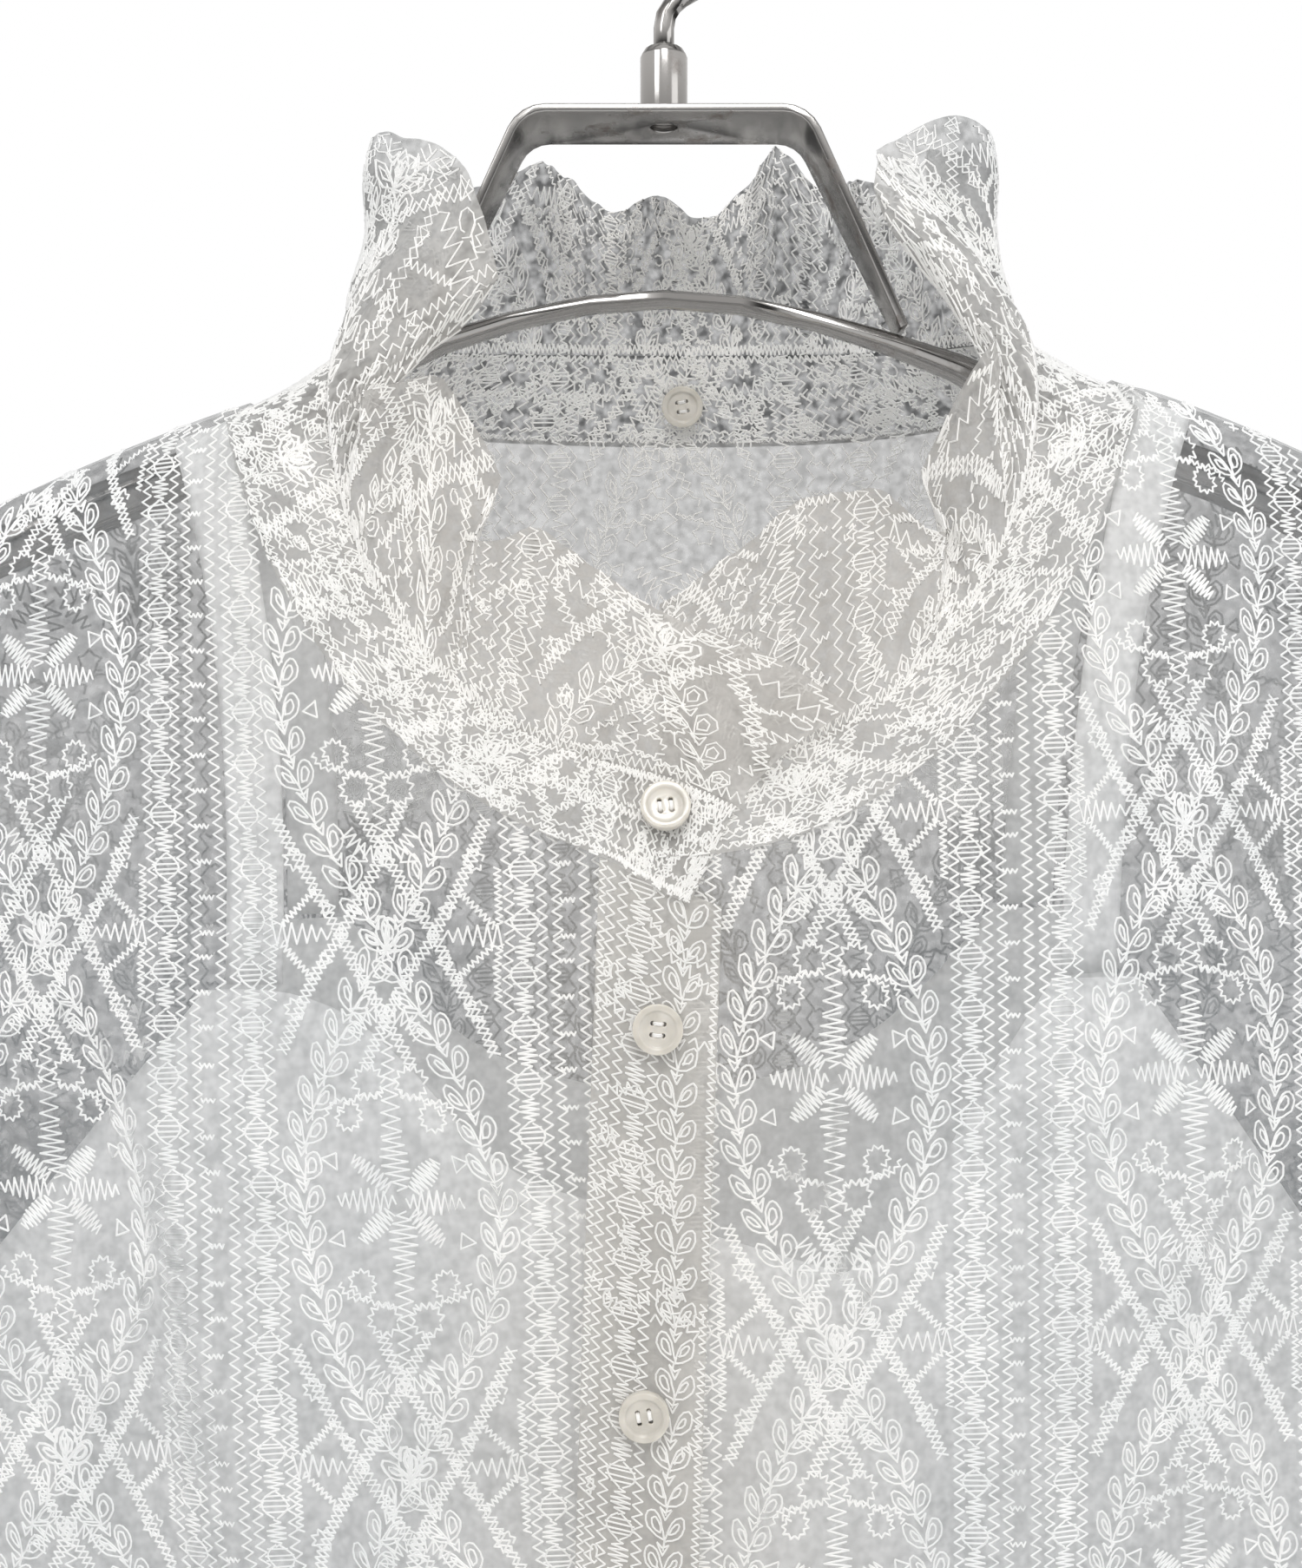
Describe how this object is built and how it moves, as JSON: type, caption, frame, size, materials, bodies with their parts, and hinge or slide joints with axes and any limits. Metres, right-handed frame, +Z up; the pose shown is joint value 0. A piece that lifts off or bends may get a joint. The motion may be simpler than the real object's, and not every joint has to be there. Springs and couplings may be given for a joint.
{
  "type": "ruffle-collar lace blouse on a clothes hanger",
  "caption": "Long-sleeved sheer lace blouse with a buttoned front, collar band and ruffle over an opaque camisole, hanging on a steel hanger.",
  "frame": {"origin": "inside top of the hanger's hook, where it rests on the rail", "axes": "+Z up along the hook, -Y the blouse's front, +X the wearer's left, which is the viewer's right"},
  "size_m": [0.6191, 0.1051, 0.7474],
  "materials": {
    "white_lace": "sheer woven ground with raised white thread embroidery",
    "white_lining": "smooth matt opaque lining cloth",
    "pearl_resin": "cream pearl gloss",
    "polished_steel": "polished steel with fine wear"
  },
  "bodies": {
    "root": {"front_right": "white_lace", "front_left": "white_lace", "back": "white_lace", "sleeve_right": "white_lace", "sleeve_left": "white_lace", "cuff_right": "white_lace", "cuff_left": "white_lace", "collar_band": "white_lace", "collar_ruffle": "white_lace", "front_placket": "white_lace", "camisole_front": "white_lining", "camisole_back": "white_lining", "camisole_strap_right": "white_lining", "camisole_strap_left": "white_lining", "button_1": "pearl_resin", "button_2": "pearl_resin", "button_3": "pearl_resin", "button_4": "pearl_resin", "button_5": "pearl_resin", "button_6": "pearl_resin", "button_7": "pearl_resin", "button_back_neck": "pearl_resin", "hanger_hook": "polished_steel", "hanger_ferrule": "polished_steel", "hanger_bracket": "polished_steel", "hanger_bar": "polished_steel"}
  },
  "joints": []
}
